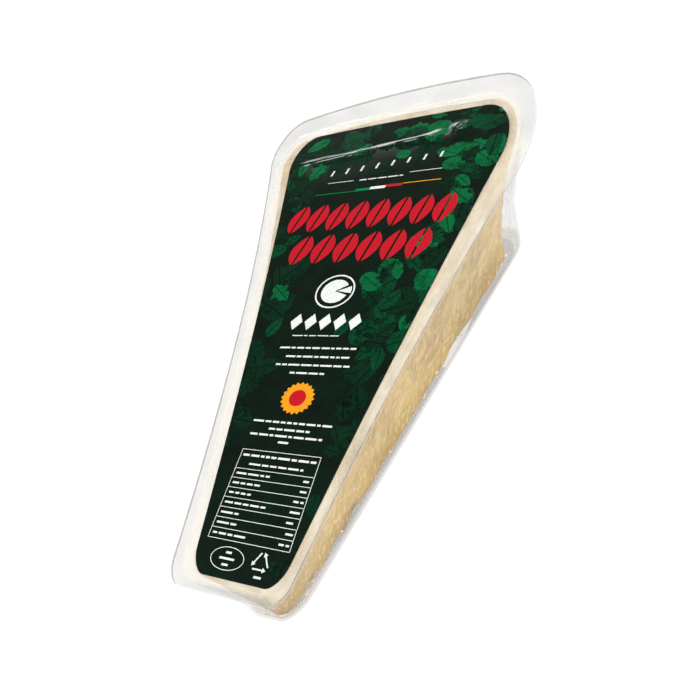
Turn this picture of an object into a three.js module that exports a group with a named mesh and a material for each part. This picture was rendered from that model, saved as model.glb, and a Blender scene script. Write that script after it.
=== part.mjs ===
// A wedge of hard cheese in a clear, lidded, tapering tray.
// Millimetres, +Z up, +Y towards the wide end. The base lies on z = 0 and the lid slopes,
// because the tray is deeper at its wide end than at its narrow end.
import * as THREE from "three";

// ---------------------------------------------------------------- driving dimensions

// The lid plane: its slope, and its height above the base at the middle of the flange.
const LID_SLOPE = THREE.MathUtils.degToRad(9.74);
const LID_HEIGHT = 36.6;

// Outlines are trapezoids with rounded corners. The wide end slants and bows outwards, as the
// rind of a round cheese does, and the long sides bow in by the waist.
// yNarrow and yWide place the ends, and the next four say how far the corners lie to either side
// of the middle. The rounds say how far a corner's rounding reaches along its end.
const FLANGE = {
  yNarrow: -87.3,
  yWide: 81.7,
  leftNarrow: 17.4,
  rightNarrow: 15.3,
  leftWide: 54.1,
  rightWide: 58.3,
  roundNarrow: 3.6,
  roundLeft: 13.2,
  roundRight: 27.3,
  slant: 0.07,
  bow: 6.8,
  waist: 4.1,
};
const MOUTH = {
  yNarrow: -85,
  yWide: 72.5,
  leftNarrow: 13.8,
  rightNarrow: 12.8,
  leftWide: 48.2,
  rightWide: 51.9,
  roundNarrow: 3.2,
  roundLeft: 10.8,
  roundRight: 23,
  slant: 0.08,
  bow: 5.1,
  waist: 3.2,
};
const BASE = {
  yNarrow: -82.2,
  yWide: 70,
  leftNarrow: 7.6,
  rightNarrow: 7.6,
  leftWide: 36.8,
  rightWide: 36.8,
  roundNarrow: 4.6,
  roundLeft: 8.5,
  roundRight: 8.5,
  slant: 0,
  bow: 0,
  waist: 0,
};
const LABEL = {
  yNarrow: -83.8,
  yWide: 70.6,
  leftNarrow: 11.1,
  rightNarrow: 13.4,
  leftWide: 41.2,
  rightWide: 44.3,
  roundNarrow: 3.6,
  roundLeft: 10.3,
  roundRight: 14.6,
  slant: 0.04,
  bow: 1,
  waist: 1.5,
};
const CHEESE_TOP = {
  yNarrow: -83.6,
  yWide: 71.2,
  leftNarrow: 12.3,
  rightNarrow: 11.6,
  leftWide: 46,
  rightWide: 48.6,
  roundNarrow: 3,
  roundLeft: 9,
  roundRight: 18,
  slant: 0.08,
  bow: 4.9,
  waist: 3.1,
};
const CHEESE_FOOT = {
  yNarrow: -80.7,
  yWide: 58,
  leftNarrow: 5.9,
  rightNarrow: 5.9,
  leftWide: 31.4,
  rightWide: 31.4,
  roundNarrow: 4.2,
  roundLeft: 4.5,
  roundRight: 4.5,
  slant: 0,
  bow: 0,
  waist: 0,
};
const STRETCH = 1.7;         // a corner's rounding reaches this much further along the side
const FULLNESS = 0.5;        // how closely a corner's rounding follows its tip
const LEAST_ROUND = 1;       // least rounding of an outline that is drawn in

const WALL = 0.6;            // thickness of the formed sheet
const BASE_RADIUS = 2.4;     // rounding between the base and the walls
const LIP_RADIUS = 1.2;      // rounding between the walls and the flange
const RIM_RADIUS = 0.1;      // rounding of the flange's cut edge
const KNEE_HEIGHT = 0.46;    // share of the wall's height where it is drawn in most
const KNEE_NARROW = 0.5;     // how far the wall is drawn in there at the narrow end
const KNEE_WIDE = 3;         // and at the wide end
const GAP = 0.3;             // clearance between pieces that touch
const FILM = 0.3;            // thickness of the lid film and of the label
const LABEL_GAP = 0.5;       // clearance between the film and the label over the fold

const CHEESE_LIFT = 0.5;     // cheese above the inside of the base
const CHEESE_DROP = 0.7;     // cheese top below the flange
const CHEESE_EDGE = 1.6;     // worn rounding of the cut edges
const CHEESE_KNEE = 2.6;     // how far the wide face is hollowed towards its middle
const CHEESE_RELIEF = 0.35;  // depth of the cut faces' unevenness
const WAVES = [              // the unevenness: how fast each wave runs per millimetre
  { x: 0, y: 0.31, z: 0.17, phase: 1.3 },
  { x: 0.23, y: 0.73, z: -0.41, phase: 0 },
  { x: 0.37, y: 0.11, z: 0.59, phase: 2.1 },
];

// The fold across the lid near its wide end, in the lid plane.
const FOLD = {
  y: 59.2,
  lean: 0.114,
  xStart: -37,
  xEnd: 30,
  width: 1.6,
  height: 0.7,
  fade: 8,
};
const FOLD_BAND = 6;         // closely meshed rows reach this far on both sides of the fold

// Points along each stretch of an outline, the same for all, so that rings can be joined.
const STEPS = {
  corner: 9,
  side: 12,
  wideEnd: 8,
  narrowEnd: 2,
  baseTurn: 3,
  cheeseFace: 6,
  closing: 7,
  long: 8,
  fold: 18,
};
const SHEET_COLUMNS = 12;    // columns across a sheet's mesh
const ENDWARD = 0.35;        // share of a ring's end in the direction of its drawing in

// ---------------------------------------------------------------- outlines

const lerp = THREE.MathUtils.lerp;
const clamp = THREE.MathUtils.clamp;
const smooth = THREE.MathUtils.smoothstep;

// Nothing at 0 and at 1, and 1 halfway.
const hump = (t) => 4 * t * (1 - t);

function between(a, b, steps) {
  const points = [];
  for (let i = 1; i < steps; i += 1) {
    points.push(a.clone().lerp(b, i / steps));
  }
  return points;
}

// A rounded corner: a curve that leaves and reaches the edges some way short of the tip.
function corner(tip, before, after, reachBefore, reachAfter) {
  const start = tip.clone().addScaledVector(before.clone().sub(tip).normalize(), reachBefore);
  const end = tip.clone().addScaledVector(after.clone().sub(tip).normalize(), reachAfter);
  const pullStart = start.clone().lerp(tip, FULLNESS);
  const pullEnd = end.clone().lerp(tip, FULLNESS);
  return new THREE.CubicBezierCurve(start, pullStart, pullEnd, end).getPoints(STEPS.corner);
}

// One long side of an outline from the narrow end to the wide end, before it is bowed.
function sideOf(o, right) {
  const round = right ? o.roundRight : o.roundLeft;
  const narrow = new THREE.Vector2(right ? o.rightNarrow : -o.leftNarrow, o.yNarrow);
  const wide = new THREE.Vector2(right ? o.rightWide : -o.leftWide, o.yWide);
  const narrowMiddle = new THREE.Vector2(0, o.yNarrow);
  const wideMiddle = new THREE.Vector2(0, o.yWide);
  const first = corner(narrow, narrowMiddle, wide, o.roundNarrow, o.roundNarrow * STRETCH);
  const last = corner(wide, narrow, wideMiddle, round * STRETCH, round);
  return [...first, ...between(first.at(-1), last[0], STEPS.side), ...last];
}

// Slants and bows the wide end, and draws the long sides in.
function bowed(o, p) {
  const along = clamp((p.y - o.yNarrow) / (o.yWide - o.yNarrow), 0, 1);
  const right = lerp(o.rightNarrow, o.rightWide, along);
  const left = lerp(o.leftNarrow, o.leftWide, along);
  const across = p.x / (p.x > 0 ? right : left);
  const wideness = clamp(2 * along - 1, 0, 1);
  const pushed = o.slant * p.x + o.bow * (1 - across * across);
  return new THREE.Vector2(
    p.x - across * o.waist * hump(along),
    p.y + wideness * pushed
  );
}

// The whole outline, anticlockwise from above.
function outline(o) {
  const right = sideOf(o, true);
  const left = sideOf(o, false).reverse();
  const loop = [
    ...right,
    ...between(right.at(-1), left[0], STEPS.wideEnd),
    ...left,
    ...between(left.at(-1), right[0], STEPS.narrowEnd),
  ];
  return loop.map((p) => bowed(o, p));
}

// The same outline, drawn in by a distance all round.
function inset(o, d) {
  return {
    ...o,
    yNarrow: o.yNarrow + d,
    yWide: o.yWide - d,
    leftNarrow: o.leftNarrow - d,
    rightNarrow: o.rightNarrow - d,
    leftWide: o.leftWide - d,
    rightWide: o.rightWide - d,
    roundNarrow: Math.max(o.roundNarrow - 0.5 * d, LEAST_ROUND),
  };
}

// Where a line across the outline meets a side, before bowing.
function sideAt(side, y) {
  const k = Math.max(side.findIndex((p) => p.y >= y), 1);
  const below = side[k - 1];
  const above = side[k];
  const t = above.y > below.y ? (y - below.y) / (above.y - below.y) : 1;
  return lerp(below.x, above.x, clamp(t, 0, 1));
}

// ---------------------------------------------------------------- places in space

// A point given in the lid plane, raised by n at right angles to it.
function lidPoint(x, y, n) {
  return new THREE.Vector3(
    x,
    y * Math.cos(LID_SLOPE) - n * Math.sin(LID_SLOPE),
    LID_HEIGHT + y * Math.sin(LID_SLOPE) + n * Math.cos(LID_SLOPE)
  );
}

const lidRing = (o, n) => outline(o).map((p) => lidPoint(p.x, p.y, n));
const levelRing = (o, z) => outline(o).map((p) => new THREE.Vector3(p.x, p.y, z));

// A ring part of the way from one to another.
const midRing = (low, high, t) => low.map((p, i) => p.clone().lerp(high[i], t));

const centreOf = (ring) => {
  const sum = new THREE.Vector3();
  ring.forEach((p) => sum.add(p));
  return sum.divideScalar(ring.length);
};

// The level direction from a point of a ring towards the ring's long middle line.
function inwardAt(p, middle) {
  return new THREE.Vector3(middle.x - p.x, ENDWARD * (middle.y - p.y), 0).normalize();
}

// ---------------------------------------------------------------- closed meshes

function toGeometry(positions, faces) {
  const numbers = positions.flatMap((p) => p.toArray());
  const geometry = new THREE.BufferGeometry();
  geometry.setAttribute("position", new THREE.Float32BufferAttribute(numbers, 3));
  geometry.setIndex(faces);
  geometry.computeVertexNormals();
  return geometry;
}

// Joins a stack of rings, closed by a fan at the first and at the last.
function ringSolid(rings) {
  const count = rings[0].length;
  const positions = [...rings.flat(), centreOf(rings[0]), centreOf(rings.at(-1))];
  const firstHub = rings.length * count;
  const lastHub = firstHub + 1;
  const top = (rings.length - 1) * count;
  const faces = [];
  for (let i = 0; i < count; i += 1) {
    const j = (i + 1) % count;
    for (let low = 0; low < top; low += count) {
      const high = low + count;
      faces.push(low + i, low + j, high + j, low + i, high + j, high + i);
    }
    faces.push(firstHub, j, i, lastHub, top + i, top + j);
  }
  return toGeometry(positions, faces);
}

// Even steps from one place to another, without the last.
const steps = (from, to, count) =>
  Array.from({ length: count }, (_, i) => lerp(from, to, i / count));

// Where a sheet's mesh has its rows: close together at the fold and at both ends.
function sheetRows(o) {
  const narrowTurn = o.yNarrow + o.roundNarrow * STRETCH;
  const foldStart = FOLD.y - FOLD_BAND - o.bow;
  const foldEnd = FOLD.y + FOLD_BAND - o.bow / 2;
  const closing = steps(0, 1, STEPS.closing);
  return [
    ...closing.map((t) => lerp(o.yNarrow, narrowTurn, t * t)),
    ...steps(narrowTurn, foldStart, STEPS.long),
    ...steps(foldStart, foldEnd, STEPS.fold),
    ...closing.map((t) => lerp(foldEnd, o.yWide, 1 - (1 - t) * (1 - t))),
    o.yWide,
  ];
}

// The height of the fold that the shrunk film has drawn across the lid.
function foldHeight(x, y) {
  const offset = (y - FOLD.y - FOLD.lean * x) / FOLD.width;
  const rise = smooth(x, FOLD.xStart, FOLD.xStart + FOLD.fade);
  const fall = smooth(x, FOLD.xEnd - FOLD.fade, FOLD.xEnd);
  return FOLD.height * Math.exp(-offset * offset) * rise * (1 - fall);
}

// One face of a sheet that lies on the lid and follows the fold, row by row.
function sheetFace(o, rows, n) {
  const right = sideOf(o, true);
  const left = sideOf(o, false);
  return rows.flatMap((y) => {
    const from = sideAt(left, y);
    const to = sideAt(right, y);
    return Array.from({ length: SHEET_COLUMNS + 1 }, (_, c) => {
      const p = bowed(o, new THREE.Vector2(lerp(from, to, c / SHEET_COLUMNS), y));
      return lidPoint(p.x, p.y, n + foldHeight(p.x, p.y));
    });
  });
}

// A thin sheet lying on the lid.
function foldedSheet(o, n) {
  const rows = sheetRows(o);
  const positions = [...sheetFace(o, rows, n), ...sheetFace(o, rows, n + FILM)];
  const width = SHEET_COLUMNS + 1;
  const over = rows.length * width;
  const lastRow = over - width;
  const faces = [];
  const quad = (a, b, c, d) => faces.push(a, b, c, a, c, d);
  for (let row = 0; row < lastRow; row += width) {
    const next = row + width;
    for (let c = 0; c < SHEET_COLUMNS; c += 1) {
      quad(over + row + c, over + row + c + 1, over + next + c + 1, over + next + c);
      quad(row + c, next + c, next + c + 1, row + c + 1);
    }
    const end = row + SHEET_COLUMNS;
    quad(row, over + row, over + next, next);
    quad(end, end + width, over + end + width, over + end);
  }
  for (let c = 0; c < SHEET_COLUMNS; c += 1) {
    const b = lastRow + c;
    quad(c, c + 1, over + c + 1, over + c);
    quad(b, over + b, over + b + 1, b + 1);
  }
  return toGeometry(positions, faces);
}

// ---------------------------------------------------------------- the tray

// Rings that turn the base into the walls, on the outside (d = 0) or inside the sheet (d = WALL).
function baseTurn(d) {
  const radius = BASE_RADIUS - d;
  return steps(0, Math.PI / 2, STEPS.baseTurn).concat(Math.PI / 2).map((angle) => {
    const shape = inset(BASE, d + radius * (1 - Math.sin(angle)));
    return levelRing(shape, d + radius * (1 - Math.cos(angle)));
  });
}

// The drawn-in ring of the wall, between the base turn and the mouth.
function knee(foot, mouth) {
  const middle = centreOf(foot);
  return midRing(foot, mouth, KNEE_HEIGHT).map((p) => {
    const wideness = clamp((p.y - BASE.yNarrow) / (BASE.yWide - BASE.yNarrow), 0, 1);
    const depth = lerp(KNEE_NARROW, KNEE_WIDE, wideness * wideness);
    return p.addScaledVector(inwardAt(p, middle), depth);
  });
}

// The lip between a wall and the flange, on the outside (d = WALL) or inside (d = 0).
function lip(d) {
  const turned = LIP_RADIUS * (1 - Math.SQRT1_2);
  return [
    lidRing(inset(MOUTH, -d), -d - LIP_RADIUS),
    lidRing(inset(MOUTH, -d - turned), -d - turned),
    lidRing(inset(MOUTH, -d - LIP_RADIUS), -d),
  ];
}

function trayGeometry() {
  const outerTurn = baseTurn(0);
  const innerTurn = baseTurn(WALL).reverse();
  const outerLip = lip(WALL);
  const innerLip = lip(0).reverse();
  return ringSolid([
    ...outerTurn,
    knee(outerTurn.at(-1), outerLip[0]),
    ...outerLip,
    lidRing(inset(FLANGE, RIM_RADIUS), -WALL),
    lidRing(FLANGE, -WALL / 2),
    lidRing(inset(FLANGE, RIM_RADIUS), 0),
    ...innerLip,
    knee(innerTurn[0], innerLip.at(-1)),
    ...innerTurn,
  ]);
}

// ---------------------------------------------------------------- the cheese

// A repeatable unevenness, between -1 and 1, from a few waves that don't line up.
function uneven(p) {
  const heights = WAVES.map((w) => Math.sin(p.x * w.x + p.y * w.y + p.z * w.z + w.phase));
  return heights.reduce((sum, height) => sum + height, 0) / WAVES.length;
}

// A ring of the cut faces: uneven, and hollowed towards the wide end at mid height.
function cutRing(foot, shoulder, t) {
  const middle = centreOf(foot);
  const hollow = hump(t) * CHEESE_KNEE;
  return midRing(foot, shoulder, t).map((p) => {
    const wideness = clamp((p.y - middle.y) / (CHEESE_FOOT.yWide - middle.y), 0, 1);
    const depth = hollow * wideness * wideness - CHEESE_RELIEF * uneven(p);
    return p.addScaledVector(inwardAt(p, middle), depth);
  });
}

function cheeseGeometry() {
  const floor = WALL + CHEESE_LIFT;
  const turned = CHEESE_EDGE * (1 - Math.SQRT1_2);
  const foot = levelRing(CHEESE_FOOT, floor + CHEESE_EDGE);
  const shoulder = lidRing(CHEESE_TOP, -CHEESE_DROP - CHEESE_EDGE);
  const heights = steps(0, 1, STEPS.cheeseFace).slice(1);
  return ringSolid([
    levelRing(inset(CHEESE_FOOT, CHEESE_EDGE), floor),
    levelRing(inset(CHEESE_FOOT, turned), floor + turned),
    foot,
    ...heights.map((t) => cutRing(foot, shoulder, t)),
    shoulder,
    lidRing(inset(CHEESE_TOP, turned), -CHEESE_DROP - turned),
    lidRing(inset(CHEESE_TOP, CHEESE_EDGE), -CHEESE_DROP),
  ]);
}

// ---------------------------------------------------------------- the pack

function piece(name, geometry, look) {
  const transparent = look.opacity !== undefined;
  const material = new THREE.MeshStandardMaterial({ ...look, metalness: 0, transparent });
  const mesh = new THREE.Mesh(geometry, material);
  mesh.name = name;
  return mesh;
}

const filmShape = inset(FLANGE, GAP);
const labelHeight = GAP + FILM + LABEL_GAP;
const clearTray = { color: 0xe4e6e4, roughness: 0.15, opacity: 0.35 };
const clearFilm = { color: 0xeceeec, roughness: 0.12, opacity: 0.3 };
const paleCheese = { color: 0xdcc08a, roughness: 0.7 };
const darkGreen = { color: 0x10301c, roughness: 0.35 };

const pieces = [
  piece("tray", trayGeometry(), clearTray),
  piece("cheese_wedge", cheeseGeometry(), paleCheese),
  piece("lid_film", foldedSheet(filmShape, GAP), clearFilm),
  piece("label", foldedSheet(LABEL, labelHeight), darkGreen),
];

// The middle of the whole pack stands over the origin.
const reach = new THREE.Box3();
pieces.forEach((mesh) => reach.expandByObject(mesh));
const middle = reach.getCenter(new THREE.Vector3());
pieces.forEach((mesh) => mesh.geometry.translate(-middle.x, -middle.y, 0));

const pack = new THREE.Group();
pack.add(...pieces);

export default pack;
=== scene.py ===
import math
import random

import bmesh
import bpy
from bpy.props import FloatProperty, FloatVectorProperty, PointerProperty
from mathutils import Matrix, Vector, noise
from mathutils.kdtree import KDTree


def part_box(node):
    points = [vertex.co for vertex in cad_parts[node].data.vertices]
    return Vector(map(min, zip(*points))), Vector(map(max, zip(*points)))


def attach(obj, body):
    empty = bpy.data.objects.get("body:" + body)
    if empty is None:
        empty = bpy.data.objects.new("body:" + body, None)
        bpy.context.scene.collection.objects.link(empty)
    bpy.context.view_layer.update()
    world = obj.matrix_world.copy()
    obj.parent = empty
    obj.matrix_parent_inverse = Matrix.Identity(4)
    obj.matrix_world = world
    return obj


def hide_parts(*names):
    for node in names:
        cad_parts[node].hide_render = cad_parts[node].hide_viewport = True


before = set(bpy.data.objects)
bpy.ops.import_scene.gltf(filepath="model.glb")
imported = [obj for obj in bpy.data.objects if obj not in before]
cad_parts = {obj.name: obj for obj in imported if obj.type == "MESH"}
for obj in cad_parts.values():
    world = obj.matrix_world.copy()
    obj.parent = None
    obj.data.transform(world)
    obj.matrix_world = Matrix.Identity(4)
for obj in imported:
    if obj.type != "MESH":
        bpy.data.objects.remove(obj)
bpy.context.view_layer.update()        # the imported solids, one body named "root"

bl_info = {
    "name": "Packed cheese wedge",
    "version": (1, 0, 0),
    "blender": (4, 5, 0),
    "location": "3D View > Sidebar > Cheese Pack",
    "description": "Builds a clear tray with a wedge of hard cheese, a lid film and a label",
    "category": "Add Mesh",
}

MM = 0.001
LID_SLOPE = math.radians(9.74)
LID_HEIGHT = 36.6 * MM           # the lid plane over the middle of the pack

# Outlines seen at right angles to their plane, in millimetres from the middle of the pack: both
# ends, the half widths there, the roundings of the corners, and how the long sides and the wide
# end bend.
OUTLINE_KEYS = ("y_narrow", "y_wide", "left_narrow", "right_narrow", "left_wide", "right_wide",
                "round_narrow", "round_left", "round_right", "slant", "bow", "waist")


def plan(*sizes):
    return dict(zip(OUTLINE_KEYS, sizes))


FLANGE = plan(-87.3, 81.7, 17.4, 15.3, 54.1, 58.3, 3.6, 13.2, 27.3, 0.07, 6.8, 4.1)
MOUTH = plan(-85, 72.5, 13.8, 12.8, 48.2, 51.9, 3.2, 10.8, 23, 0.08, 5.1, 3.2)
BASE = plan(-82.2, 70, 7.6, 7.6, 36.8, 36.8, 4.6, 8.5, 8.5, 0, 0, 0)
LABEL = plan(-83.8, 70.6, 11.1, 13.4, 41.2, 44.3, 3.6, 10.3, 14.6, 0.04, 1, 1.5)
CHEESE_TOP = plan(-83.6, 71.2, 12.3, 11.6, 46, 48.6, 3, 9, 18, 0.08, 4.9, 3.1)
CHEESE_FOOT = plan(-80.7, 58, 5.9, 5.9, 31.4, 31.4, 4.2, 4.5, 4.5, 0, 0, 0)
STRETCH = 1.7                    # how much longer a corner's rounding runs up the side
LEAST_ROUND = 1                  # no narrow corner is rounded less, in millimetres
CORNER_STEPS, SIDE_STEPS, WIDE_STEPS, NARROW_STEPS = 14, 40, 24, 8
EDGE_PARTS = 4                   # finer steps in which an outline is searched
KNEE_HEIGHT = 0.46               # share of the wall's height where it is drawn in most

FOLD_SLANT = 0.114               # how much the fold climbs across the lid
FOLD_DROP = 0.8                  # how far below its place the fold crosses the middle line
FOLD_ZONE = 50                   # print beyond this height is cut so that it can follow the fold
SHEEN_SLANT = 0.113               # how much the painted sheen below the fold climbs
GRAIN_LEAN = math.radians(50)    # how far the cheese's grain leans up from the long axis
# Painted glints along the cheese's foot: how many pale bits, and their seed.
FOOT_GLINTS, FOOT_GLINT_SEED = 60, 23
LEAF_TRIES, LEAF_SEED = 620, 11
LEAF_STEP = 0.00006              # each later leaf lies this much higher, in millimetres
LEAF_RISE, PRINT_RISE = 0.01, 0.08    # heights over the label, in millimetres
PRINT_SEED = 5


# ---------------- sizes and colours

def length(name, description, default):
    return FloatProperty(name=name, description=description, default=default, unit="LENGTH")


def colour(name, description, default):
    return FloatVectorProperty(name=name, description=description, default=default,
                               subtype="COLOR", size=3, min=0, max=1)


class PACK_PG_tray(bpy.types.PropertyGroup):
    wall: length("Sheet", "Thickness of the formed sheet", 0.6 * MM)
    base_radius: length("Base rounding", "Rounding between the base and the walls", 2.4 * MM)
    lip_radius: length("Lip rounding", "Rounding between the walls and the flange", 1.2 * MM)
    knee_narrow: length("Narrow draw-in", "How far the narrow end's wall is drawn in", 0.5 * MM)
    knee_wide: length("Wide draw-in", "How far the wide end's wall is drawn in", 3 * MM)
    ripple: length("Ripple", "Height of the shallow ripples of the formed wall", 0.12 * MM)
    tint: colour("Plastic tint", "What the clear sheet takes from the light", (0.952, 0.95, 0.945))
    # Painted shade: the greyer foot stands in for the grey band that refraction gives round the
    # tray's foot.
    foot_shade_tint: colour("Foot tint", "Greyer tint round the foot of the tray", (0.835, 0.82, 0.805))
    haze_and_sheen: colour("Plastic haze", "The milky light that the sheet scatters", (0.86, 0.85, 0.83))


class PACK_PG_cheese(bpy.types.PropertyGroup):
    lift: length("Lift", "Clearance over the inside of the base", 0.5 * MM)
    drop: length("Drop", "Clearance below the flange", 0.05 * MM)
    edge: length("Worn edge", "Rounding of the cut edges", 1.0 * MM)
    knee: length("Hollow", "How far the wide face is hollowed", 2.6 * MM)
    relief: length("Relief", "Depth of the crumbly unevenness", 0.35 * MM)
    torn: length("Torn foot", "How far the foot of the wedge is broken away", 2.4 * MM)
    pale: colour("Pale paste", "Lightest colour of the cheese", (0.81, 0.56, 0.18))
    deep: colour("Deep paste", "Darkest ochre of the cheese", (0.50, 0.30, 0.05))
    streak: colour("Streaks", "Pale streaks and specks of the paste", (0.94, 0.79, 0.43))


class PACK_PG_lid(bpy.types.PropertyGroup):
    film: length("Film", "Thickness of the lid film and of the label", 0.2 * MM)
    film_gap: length("Film gap", "Clearance between flange and film", 0.2 * MM)
    label_gap: length("Label gap", "Clearance between film and label", 0.06 * MM)
    fold_y: length("Fold place", "Where the fold crosses the middle line", 59.2 * MM)
    fold_width: length("Fold width", "Half width of the fold", 1.6 * MM)
    fold_height: length("Fold height", "Height of the fold", 0.7 * MM)
    veil: colour("Veil", "Milky tint of the film where it touches the cheese", (0.94, 0.90, 0.81))
    # Painted sheen: the grey green below the fold stands in for light reflected off the gathered
    # film.
    haze_and_sheen: colour("Haze", "Grey green of the gathered film below the fold", (0.05, 0.06, 0.05))
    ground: colour("Label ground", "Near black green of the label", (0.0035, 0.0075, 0.0045))
    leaf_dark: colour("Dark leaves", "Darker leaf green", (0.003, 0.028, 0.012))
    leaf_middle: colour("Middle leaves", "Middle leaf green", (0.002, 0.062, 0.022))
    leaf_light: colour("Light leaves", "Lighter leaf green", (0.002, 0.155, 0.046))


class PACK_PG_print(bpy.types.PropertyGroup):
    ink: length("Ink", "Thickness of the printed shapes", 0.03 * MM)
    red: colour("Red ink", "Red of the bold shapes", (0.52, 0.010, 0.021))
    white: colour("White ink", "White of the fine shapes", (0.80, 0.82, 0.80))
    yellow: colour("Yellow ink", "Yellow of the round seal", (0.84, 0.33, 0.015))
    green: colour("Green ink", "Green of the short bar", (0.003, 0.19, 0.06))


class PACK_PG_stage(bpy.types.PropertyGroup):
    floor: colour("Floor", "Colour of the floor", (0.1, 0.1, 0.1))
    floor_reach: length("Floor reach", "Half width of the floor", 12.0)
    key_power: FloatProperty(name="Key power", description="Power of the large softbox",
                             default=18.5)
    glint_power: FloatProperty(name="Glint power", description="Power of the low softbox",
                               default=8)


# ---------------- outlines

def lerp(a, b, t):
    return a + (b - a) * t


def clamp(x, low=0.0, high=1.0):
    return max(low, min(high, x))


def smooth(x, low, high):
    t = clamp((x - low) / (high - low))
    return t * t * (3 - 2 * t)


def hump(t):
    return 4 * t * (1 - t)


def between(a, b, steps):
    return [a.lerp(b, i / steps) for i in range(1, steps)]


def corner(tip, before, after, reach_before, reach_after):
    """A soft corner: a curve from one side to the other, pulled half way towards the tip."""
    start = tip + (before - tip).normalized() * reach_before
    end = tip + (after - tip).normalized() * reach_after
    pull_start, pull_end = start.lerp(tip, 0.5), end.lerp(tip, 0.5)
    points = []
    for i in range(CORNER_STEPS + 1):
        t = i / CORNER_STEPS
        a, b, c = start.lerp(pull_start, t), pull_start.lerp(pull_end, t), pull_end.lerp(end, t)
        points.append(a.lerp(b, t).lerp(b.lerp(c, t), t))
    return points


def side_of(o, right):
    """One long side of an outline with its two rounded corners, from narrow to wide."""
    end_round = o["round_right"] if right else o["round_left"]
    narrow = Vector((o["right_narrow"] if right else -o["left_narrow"], o["y_narrow"]))
    wide = Vector((o["right_wide"] if right else -o["left_wide"], o["y_wide"]))
    first = corner(narrow, Vector((0, narrow.y)), wide, o["round_narrow"],
                   o["round_narrow"] * STRETCH)
    last = corner(wide, narrow, Vector((0, wide.y)), end_round * STRETCH, end_round)
    return first + between(first[-1], last[0], SIDE_STEPS) + last


def bowed(o, p):
    """Gives a point the outline's waist and the bow and slant of its wide end."""
    along = clamp((p.y - o["y_narrow"]) / (o["y_wide"] - o["y_narrow"]))
    side = "right" if p.x > 0 else "left"
    across = p.x / lerp(o[side + "_narrow"], o[side + "_wide"], along)
    wideness = clamp(2 * along - 1)
    pushed = o["slant"] * p.x + o["bow"] * (1 - across * across)
    return Vector((p.x - across * o["waist"] * hump(along), p.y + wideness * pushed))


def outline(o):
    right = side_of(o, True)
    left = side_of(o, False)[::-1]
    loop = right + between(right[-1], left[0], WIDE_STEPS)
    loop += left + between(left[-1], right[0], NARROW_STEPS)
    return [bowed(o, p) for p in loop]


def inset(o, d):
    """The outline drawn in by d millimetres."""
    made = dict(o)
    made["y_narrow"] += d
    made["y_wide"] -= d
    for side in ("left_narrow", "right_narrow", "left_wide", "right_wide"):
        made[side] -= d
    made["round_narrow"] = max(o["round_narrow"] - 0.5 * d, LEAST_ROUND)
    return made


def side_at(side, y):
    """How far out a side lies at a height."""
    k = max(next((i for i, p in enumerate(side) if p.y >= y), len(side) - 1), 1)
    below, above = side[k - 1], side[k]
    t = (y - below.y) / (above.y - below.y) if above.y > below.y else 1
    return lerp(below.x, above.x, clamp(t))


def lid_point(x, y, n):
    """A place given in the lid plane, in millimetres, as a point in metres."""
    return MIDDLE + Vector((
        x * MM,
        (y * math.cos(LID_SLOPE) - n * math.sin(LID_SLOPE)) * MM,
        LID_HEIGHT + (y * math.sin(LID_SLOPE) + n * math.cos(LID_SLOPE)) * MM))


def label_place(p):
    """A point's place in the lid plane, in millimetres."""
    q = (p - MIDDLE - Vector((0, 0, LID_HEIGHT))) / MM
    return q.x, q.y * math.cos(LID_SLOPE) + q.z * math.sin(LID_SLOPE)


def level_point(x, y, z):
    return MIDDLE + Vector((x, y, z)) * MM


def lid_ring(o, n):
    return [lid_point(p.x, p.y, n) for p in outline(o)]


def level_ring(o, z):
    return [level_point(p.x, p.y, z) for p in outline(o)]


def mid_ring(low, high, t):
    return [a.lerp(b, t) for a, b in zip(low, high)]


def quarter_turn(steps):
    return [i * math.pi / (2 * steps) for i in range(steps + 1)]


def rounded_foot(o, radius, floor, turn):
    """Level rings that round the edge between a flat foot and the walls."""
    return [level_ring(inset(o, radius * (1 - math.sin(a))), floor + radius * (1 - math.cos(a)))
            for a in turn]


def centre_of(ring):
    return sum(ring, Vector()) / len(ring)


def inward_at(p, middle):
    return Vector((middle.x - p.x, 0.35 * (middle.y - p.y), 0)).normalized()


MIDDLE = Vector()
flange_ring = lid_ring(FLANGE, 0)
tray_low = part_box("tray")[0]
MIDDLE = Vector((tray_low.x - min(p.x for p in flange_ring),
                 tray_low.y - min(p.y for p in flange_ring), 0))


class Edge:
    """An outline that tells how far a place is from it, and where its nearest point lies."""

    def __init__(self, o):
        loop = outline(o)
        self.points, self.outward, self.arcs = [], [], []
        arc = 0.0
        for a, b in zip(loop, loop[1:] + loop[:1]):
            along = (b - a).normalized()
            for k in range(EDGE_PARTS):
                self.points.append(a.lerp(b, k / EDGE_PARTS))
                self.outward.append(Vector((along.y, -along.x)))
                self.arcs.append(arc + (b - a).length * k / EDGE_PARTS)
            arc += (b - a).length
        self.tree = KDTree(len(self.points))
        for i, p in enumerate(self.points):
            self.tree.insert((p.x, p.y, 0), i)
        self.tree.balance()

    def at(self, x, y):
        """How far outside a place lies (negative inside), and how far round the outline."""
        _, i, _ = self.tree.find((x, y, 0))
        return (Vector((x, y)) - self.points[i]).dot(self.outward[i]), self.arcs[i]


# ---------------- modelling steps

def deselect_all():
    if bpy.context.object and bpy.context.object.mode != "OBJECT":
        bpy.ops.object.mode_set(mode="OBJECT")
    bpy.ops.object.select_all(action="DESELECT")


def take(obj):
    deselect_all()
    obj.select_set(True)
    bpy.context.view_layer.objects.active = obj


def to_edit(obj, kind="VERT"):
    take(obj)
    bpy.ops.object.mode_set(mode="EDIT")
    bpy.ops.mesh.select_mode(type=kind)


def to_object():
    bpy.ops.object.mode_set(mode="OBJECT")


def named(name):
    """Names the piece that was just added."""
    obj = bpy.context.object
    obj.name = obj.data.name = name
    return obj


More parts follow.
